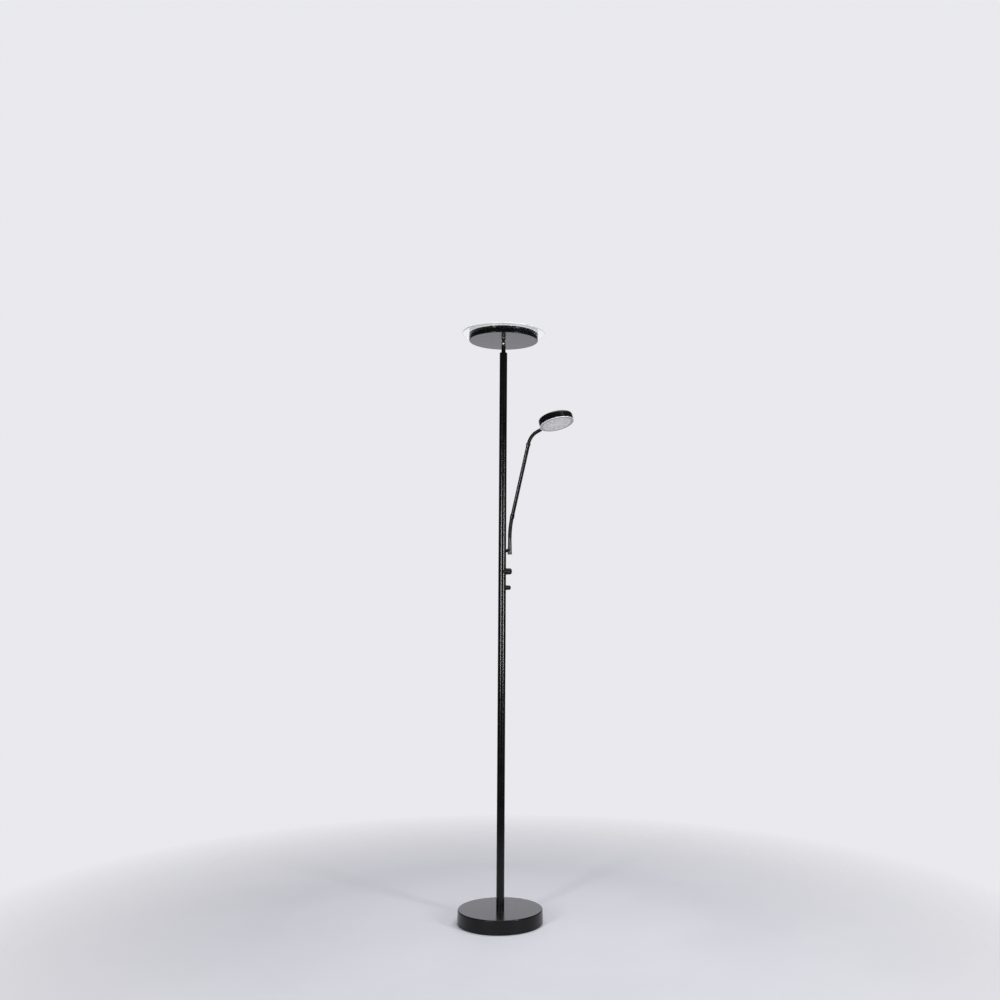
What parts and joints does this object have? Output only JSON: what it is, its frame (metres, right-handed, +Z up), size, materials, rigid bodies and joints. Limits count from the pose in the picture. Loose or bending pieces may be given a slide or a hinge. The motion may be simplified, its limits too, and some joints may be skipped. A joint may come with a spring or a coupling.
{
  "type": "torchiere floor lamp",
  "caption": "Round-based torchiere floor lamp with a tilting glass-rimmed uplighter, a reading light on a flexible arm, and two rotary dimmers on the pole.",
  "frame": {"origin": "centre of the base pad's underside, on the floor", "axes": "+Z up along the pole, +X to the lamp's right as seen from the front, +Y to its back, where the cord enters the base"},
  "size_m": [0.3421, 0.3309, 1.8015],
  "materials": {
    "black_powder_coat": "satin to semi-gloss powder coat",
    "black_neck": "satin black, finely ribbed flexible neck",
    "black_plastic": "satin moulded",
    "rubber": "matt",
    "felt": "felted non-slip pad",
    "zinc_steel": "zinc plated",
    "chrome": "polished",
    "brass": "plain turned",
    "concrete": "cast",
    "led_board": "white solder mask on aluminium",
    "opal_plastic": "opal, translucent",
    "frosted_plastic": "frosted, translucent",
    "clear_glass": "clear with polished edge"
  },
  "bodies": {
    "stand": {"base_pad": "felt", "base_plate": "zinc_steel", "base_weight": "concrete", "base_cover": "black_powder_coat", "cord_grommet": "rubber", "base_pipe": "zinc_steel", "base_washer": "zinc_steel", "base_nut": "zinc_steel", "pole_foot": "zinc_steel", "pole_tube_lower": "black_powder_coat", "pole_tube_middle": "black_powder_coat", "pole_tube_controls": "black_powder_coat", "pole_tube_upper": "black_powder_coat", "pole_coupling_1": "zinc_steel", "pole_coupling_2": "zinc_steel", "pole_coupling_3": "zinc_steel", "pole_cap": "black_powder_coat", "base_lead": "rubber", "pole_lead_lower": "rubber", "pole_lead_upper": "rubber", "main_dimmer_body": "black_plastic", "main_dimmer_saddle": "black_plastic", "reading_dimmer_body": "black_plastic", "reading_dimmer_saddle": "black_plastic", "arm_socket": "black_powder_coat", "arm_socket_stud": "brass", "arm_socket_nut": "brass", "neck_fork": "black_powder_coat", "neck_nut": "zinc_steel", "tilt_screw": "chrome", "tilt_nut": "chrome"},
    "uplighter": {"head_tongue": "black_powder_coat", "head_tongue_nut": "zinc_steel", "head_dish": "black_powder_coat", "head_led_board": "led_board", "head_led_driver": "black_plastic", "head_diffuser": "opal_plastic", "head_glass": "clear_glass"},
    "main_knob": {"main_dimmer_knob": "black_plastic", "main_dimmer_shaft": "zinc_steel"},
    "reading_knob": {"reading_dimmer_knob": "black_plastic", "reading_dimmer_shaft": "zinc_steel"},
    "arm_foot": {"arm_spigot": "black_powder_coat", "arm_socket_screw": "zinc_steel", "lower_neck_base": "black_neck"},
    "lower_link": {"lower_neck_link": "black_neck"},
    "arm": {"lower_neck_end": "black_neck", "lower_neck_ferrule": "black_powder_coat", "arm_tube": "black_powder_coat", "upper_neck_ferrule": "black_powder_coat", "upper_neck_base": "black_neck"},
    "upper_link_1": {"upper_neck_link_1": "black_neck"},
    "upper_link_2": {"upper_neck_link_2": "black_neck"},
    "reading_light": {"upper_neck_end": "black_neck", "reading_ferrule": "black_powder_coat", "reading_housing": "black_powder_coat", "reading_neck_nut": "zinc_steel", "reading_led_board": "led_board", "reading_lens": "frosted_plastic"}
  },
  "joints": [
    {"name": "head_tilt", "type": "hinge", "parent": "stand", "child": "uplighter", "pos_m": [0, 0, 1.767], "axis": [0, 1, 0], "range_deg": [-60, 60]},
    {"name": "main_dimmer_turn", "type": "hinge", "parent": "stand", "child": "main_knob", "pos_m": [0.01178, -0.00549, 1.047], "axis": [0.9063, -0.4226, 0], "range_deg": [0, 270]},
    {"name": "reading_dimmer_turn", "type": "hinge", "parent": "stand", "child": "reading_knob", "pos_m": [0.01178, -0.00549, 0.997], "axis": [0.9063, -0.4226, 0], "range_deg": [0, 270]},
    {"name": "arm_swivel", "type": "hinge", "parent": "stand", "child": "arm_foot", "pos_m": [0.02284, -0.01065, 1.1475], "axis": [0, 0, 1], "range_deg": [-80, 120]},
    {"name": "lower_neck_bend", "type": "hinge", "parent": "arm_foot", "child": "lower_link", "pos_m": [0.02327, -0.01108, 1.16734], "axis": [0.7071, 0.7071, 0], "range_deg": [-8.5, 28]},
    {"name": "lower_neck_bend_2", "type": "hinge", "parent": "lower_link", "child": "arm", "pos_m": [0.0267, -0.01451, 1.19944], "axis": [0.7071, 0.7071, 0], "range_deg": [-8.5, 28]},
    {"name": "upper_neck_bend", "type": "hinge", "parent": "arm", "child": "upper_link_1", "pos_m": [0.0801, -0.06792, 1.44328], "axis": [0.7071, 0.7071, 0], "range_deg": [-10, 18.3]},
    {"name": "upper_neck_bend_2", "type": "hinge", "parent": "upper_link_1", "child": "upper_link_2", "pos_m": [0.08673, -0.07454, 1.45633], "axis": [0.7071, 0.7071, 0], "range_deg": [-10, 18.3]},
    {"name": "upper_neck_bend_3", "type": "hinge", "parent": "upper_link_2", "child": "reading_light", "pos_m": [0.09593, -0.08374, 1.46574], "axis": [0.7071, 0.7071, 0], "range_deg": [-10, 18.3]}
  ],
  "couplings": [
    {"joint": "lower_neck_bend_2", "follows": "lower_neck_bend", "ratio": 1},
    {"joint": "upper_neck_bend_2", "follows": "upper_neck_bend", "ratio": 1},
    {"joint": "upper_neck_bend_3", "follows": "upper_neck_bend", "ratio": 1}
  ]
}
